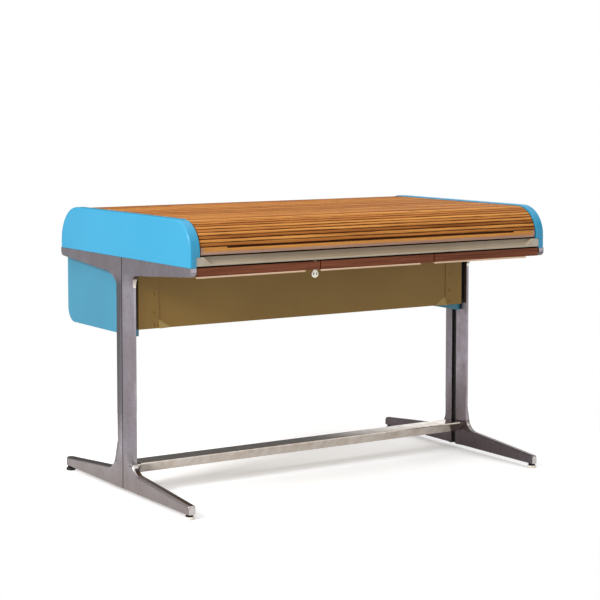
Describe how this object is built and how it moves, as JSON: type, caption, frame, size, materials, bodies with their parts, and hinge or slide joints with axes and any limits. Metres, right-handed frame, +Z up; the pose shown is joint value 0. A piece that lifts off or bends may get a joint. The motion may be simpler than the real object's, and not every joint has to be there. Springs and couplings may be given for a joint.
{
  "type": "tambour desk",
  "caption": "Desk on cast legs with a foot rail, painted cheeks, a sliding slatted tambour, shallow drawers under the worktop and a hanging file bin behind it.",
  "frame": {"origin": "on the floor under the middle of the desk", "axes": "+X along the length, to the sitter's right; the sitter is at -Y; +Z up"},
  "size_m": [1.252, 0.82, 0.822],
  "materials": {
    "black_steel": "satin",
    "blue_lacquer": "sprayed satin lacquer",
    "bright_aluminium": "bright polished",
    "cast_aluminium": "polished casting",
    "dark_strip": "matt",
    "glide_nylon": "satin",
    "grey_tray": "moulded",
    "nickelled_brass": "nickel plated",
    "olive_lacquer": "sprayed satin lacquer",
    "pale_pull": "satin lacquer",
    "taupe_edge": "sprayed satin lacquer",
    "walnut_front": "oiled",
    "walnut_tambour": "oiled",
    "white_laminate": "satin",
    "zinc_steel": "satin"
  },
  "bodies": {
    "frame": {"bin_back_panel": "olive_lacquer", "bin_brackets": "olive_lacquer", "bin_end_left": "blue_lacquer", "bin_end_right": "blue_lacquer", "bin_floor": "olive_lacquer", "bin_front_panel": "olive_lacquer", "bin_inner_wall": "olive_lacquer", "bracket_screws": "olive_lacquer", "channel_strips": "dark_strip", "cheek_left": "blue_lacquer", "cheek_right": "blue_lacquer", "cheek_screws": "zinc_steel", "drawer_runners": "grey_tray", "file_rails": "zinc_steel", "foot_rail": "bright_aluminium", "foot_rail_blocks": "bright_aluminium", "foot_rail_studs": "zinc_steel", "glide_pads": "glide_nylon", "glide_stems": "black_steel", "leg_left": "cast_aluminium", "leg_right": "cast_aluminium", "worktop": "white_laminate", "worktop_edge": "taupe_edge"},
    "tambour_lip": {"tambour_lip": "walnut_tambour"},
    "tambour_front_1": {"tambour_front_1": "walnut_tambour"},
    "tambour_front_2": {"tambour_front_2": "walnut_tambour"},
    "tambour_front_3": {"tambour_front_3": "walnut_tambour"},
    "tambour_front_4": {"tambour_front_4": "walnut_tambour"},
    "tambour_front_5": {"tambour_front_5": "walnut_tambour"},
    "tambour_front_6": {"tambour_front_6": "walnut_tambour"},
    "tambour_top": {"tambour_top": "walnut_tambour"},
    "tambour_rear_1": {"tambour_rear_1": "walnut_tambour"},
    "tambour_rear_2": {"tambour_rear_2": "walnut_tambour"},
    "tambour_rear_3": {"tambour_rear_3": "walnut_tambour"},
    "tambour_rear_4": {"tambour_rear_4": "walnut_tambour"},
    "tambour_rear_5": {"tambour_rear_5": "walnut_tambour"},
    "tambour_rear_6": {"tambour_rear_6": "walnut_tambour"},
    "tambour_rear_7": {"tambour_rear_7": "walnut_tambour"},
    "tambour_rear_8": {"tambour_rear_8": "walnut_tambour"},
    "tambour_rear_9": {"tambour_rear_9": "walnut_tambour"},
    "tambour_rear_10": {"tambour_rear_10": "walnut_tambour"},
    "tambour_rear_11": {"tambour_rear_11": "walnut_tambour"},
    "tambour_rear_12": {"tambour_rear_12": "walnut_tambour"},
    "tambour_rear_13": {"tambour_rear_13": "walnut_tambour"},
    "tambour_rear_14": {"tambour_rear_14": "walnut_tambour"},
    "tambour_tail": {"tambour_tail": "walnut_tambour"},
    "drawer_left": {"drawer_front_left": "walnut_front", "drawer_pull_left": "pale_pull", "drawer_tray_left": "grey_tray", "lock_barrel": "nickelled_brass"},
    "drawer_middle": {"drawer_front_middle": "walnut_front", "drawer_pull_middle": "pale_pull", "drawer_tray_middle": "grey_tray"},
    "drawer_right": {"drawer_front_right": "walnut_front", "drawer_pull_right": "pale_pull", "drawer_tray_right": "grey_tray"},
    "key_and_plug": {"lock_plug": "nickelled_brass", "lock_cam": "nickelled_brass", "lock_key": "nickelled_brass"}
  },
  "joints": [
    {"name": "tambour_lip_turn", "type": "hinge", "parent": "frame", "child": "tambour_lip", "pos_m": [0, -0.3145, 0.72615], "axis": [-1, 0, 0], "range_deg": [0, 86.51]},
    {"name": "tambour_front_1_turn", "type": "hinge", "parent": "frame", "child": "tambour_front_1", "pos_m": [0, -0.304, 0.70982], "axis": [-1, 0, 0], "range_deg": [0, 71.66]},
    {"name": "tambour_front_2_turn", "type": "hinge", "parent": "frame", "child": "tambour_front_2", "pos_m": [0, -0.294, 0.68457], "axis": [-1, 0, 0], "range_deg": [0, 57.51]},
    {"name": "tambour_front_3_turn", "type": "hinge", "parent": "frame", "child": "tambour_front_3", "pos_m": [0, -0.284, 0.64134], "axis": [-1, 0, 0], "range_deg": [0, 43.37]},
    {"name": "tambour_front_4_turn", "type": "hinge", "parent": "frame", "child": "tambour_front_4", "pos_m": [0, -0.274, 0.5552], "axis": [-1, 0, 0], "range_deg": [0, 29.22]},
    {"name": "tambour_front_5_turn", "type": "hinge", "parent": "frame", "child": "tambour_front_5", "pos_m": [0, -0.264, 0.30722], "axis": [-1, 0, 0], "range_deg": [0, 15.07]},
    {"name": "tambour_front_6_turn", "type": "hinge", "parent": "frame", "child": "tambour_front_6", "pos_m": [0, -0.254, -7.92881], "axis": [-1, 0, 0], "range_deg": [0, 0.923]},
    {"name": "tambour_roll", "type": "slide", "parent": "frame", "child": "tambour_top", "axis": [0, 1, 0], "range_m": [0, 0.13323]},
    {"name": "tambour_rear_1_turn", "type": "hinge", "parent": "frame", "child": "tambour_rear_1", "pos_m": [0, 0.237, -2.81147], "axis": [-1, 0, 0], "range_deg": [0, 2.16]},
    {"name": "tambour_rear_2_turn", "type": "hinge", "parent": "frame", "child": "tambour_rear_2", "pos_m": [0, 0.247, 0.3108], "axis": [-1, 0, 0], "range_deg": [0, 15.18]},
    {"name": "tambour_rear_3_turn", "type": "hinge", "parent": "frame", "child": "tambour_rear_3", "pos_m": [0, 0.257, 0.54551], "axis": [-1, 0, 0], "range_deg": [0, 28.2]},
    {"name": "tambour_rear_4_turn", "type": "hinge", "parent": "frame", "child": "tambour_rear_4", "pos_m": [0, 0.267, 0.63181], "axis": [-1, 0, 0], "range_deg": [0, 41.22]},
    {"name": "tambour_rear_5_turn", "type": "hinge", "parent": "frame", "child": "tambour_rear_5", "pos_m": [0, 0.277, 0.67614], "axis": [-1, 0, 0], "range_deg": [0, 54.24]},
    {"name": "tambour_rear_6_turn", "type": "hinge", "parent": "frame", "child": "tambour_rear_6", "pos_m": [0, 0.287, 0.70243], "axis": [-1, 0, 0], "range_deg": [0, 67.27]},
    {"name": "tambour_rear_7_turn", "type": "hinge", "parent": "frame", "child": "tambour_rear_7", "pos_m": [0, 0.297, 0.71907], "axis": [-1, 0, 0], "range_deg": [0, 80.29]},
    {"name": "tambour_rear_8_turn", "type": "hinge", "parent": "frame", "child": "tambour_rear_8", "pos_m": [0, 0.2992, 0.7225], "axis": [-1, 0, 0], "range_deg": [0, 83.54]},
    {"name": "tambour_rear_9_turn", "type": "hinge", "parent": "frame", "child": "tambour_rear_9", "pos_m": [0, 0.2843, 0.7125], "axis": [-1, 0, 0], "range_deg": [0, 70.52]},
    {"name": "tambour_rear_10_turn", "type": "hinge", "parent": "frame", "child": "tambour_rear_10", "pos_m": [0, 0.26094, 0.7025], "axis": [-1, 0, 0], "range_deg": [0, 57.5]},
    {"name": "tambour_rear_11_turn", "type": "hinge", "parent": "frame", "child": "tambour_rear_11", "pos_m": [0, 0.2224, 0.6925], "axis": [-1, 0, 0], "range_deg": [0, 44.47]},
    {"name": "tambour_rear_12_turn", "type": "hinge", "parent": "frame", "child": "tambour_rear_12", "pos_m": [0, 0.1508, 0.6825], "axis": [-1, 0, 0], "range_deg": [0, 31.45]},
    {"name": "tambour_rear_13_turn", "type": "hinge", "parent": "frame", "child": "tambour_rear_13", "pos_m": [0, -0.02251, 0.6725], "axis": [-1, 0, 0], "range_deg": [0, 18.43]},
    {"name": "tambour_rear_14_turn", "type": "hinge", "parent": "frame", "child": "tambour_rear_14", "pos_m": [0, -1.03363, 0.6625], "axis": [-1, 0, 0], "range_deg": [0, 5.41]},
    {"name": "tambour_tail_slide", "type": "slide", "parent": "frame", "child": "tambour_tail", "axis": [0, 0, -1], "range_m": [0, 0.13334]},
    {"name": "drawer_left_slide", "type": "slide", "parent": "frame", "child": "drawer_left", "axis": [0, -1, 0], "range_m": [0, 0.28]},
    {"name": "drawer_middle_slide", "type": "slide", "parent": "frame", "child": "drawer_middle", "axis": [0, -1, 0], "range_m": [0, 0.28]},
    {"name": "drawer_right_slide", "type": "slide", "parent": "frame", "child": "drawer_right", "axis": [0, -1, 0], "range_m": [0, 0.28]},
    {"name": "key_turn", "type": "hinge", "parent": "drawer_left", "child": "key_and_plug", "pos_m": [-0.21483, -0.399, 0.669], "axis": [0, 0, 1], "range_deg": [0, 90]}
  ],
  "couplings": [
    {"joint": "tambour_lip_turn", "follows": "tambour_roll", "rad_per_m": 11.326},
    {"joint": "tambour_front_1_turn", "follows": "tambour_roll", "rad_per_m": 9.3805},
    {"joint": "tambour_front_2_turn", "follows": "tambour_roll", "rad_per_m": 7.5273},
    {"joint": "tambour_front_3_turn", "follows": "tambour_roll", "rad_per_m": 5.6741},
    {"joint": "tambour_front_4_turn", "follows": "tambour_roll", "rad_per_m": 3.8208},
    {"joint": "tambour_front_5_turn", "follows": "tambour_roll", "rad_per_m": 1.9676},
    {"joint": "tambour_front_6_turn", "follows": "tambour_roll", "rad_per_m": 0.11439},
    {"joint": "tambour_rear_1_turn", "follows": "tambour_roll", "rad_per_m": 0.27587},
    {"joint": "tambour_rear_2_turn", "follows": "tambour_roll", "rad_per_m": 1.9817},
    {"joint": "tambour_rear_3_turn", "follows": "tambour_roll", "rad_per_m": 3.6875},
    {"joint": "tambour_rear_4_turn", "follows": "tambour_roll", "rad_per_m": 5.3933},
    {"joint": "tambour_rear_5_turn", "follows": "tambour_roll", "rad_per_m": 7.0991},
    {"joint": "tambour_rear_6_turn", "follows": "tambour_roll", "rad_per_m": 8.8049},
    {"joint": "tambour_rear_7_turn", "follows": "tambour_roll", "rad_per_m": 10.511},
    {"joint": "tambour_rear_8_turn", "follows": "tambour_roll", "rad_per_m": 10.937},
    {"joint": "tambour_rear_9_turn", "follows": "tambour_roll", "rad_per_m": 9.231},
    {"joint": "tambour_rear_10_turn", "follows": "tambour_roll", "rad_per_m": 7.5252},
    {"joint": "tambour_rear_11_turn", "follows": "tambour_roll", "rad_per_m": 5.8194},
    {"joint": "tambour_rear_12_turn", "follows": "tambour_roll", "rad_per_m": 4.1136},
    {"joint": "tambour_rear_13_turn", "follows": "tambour_roll", "rad_per_m": 2.4078},
    {"joint": "tambour_rear_14_turn", "follows": "tambour_roll", "rad_per_m": 0.70195},
    {"joint": "tambour_tail_slide", "follows": "tambour_roll", "ratio": 1}
  ]
}
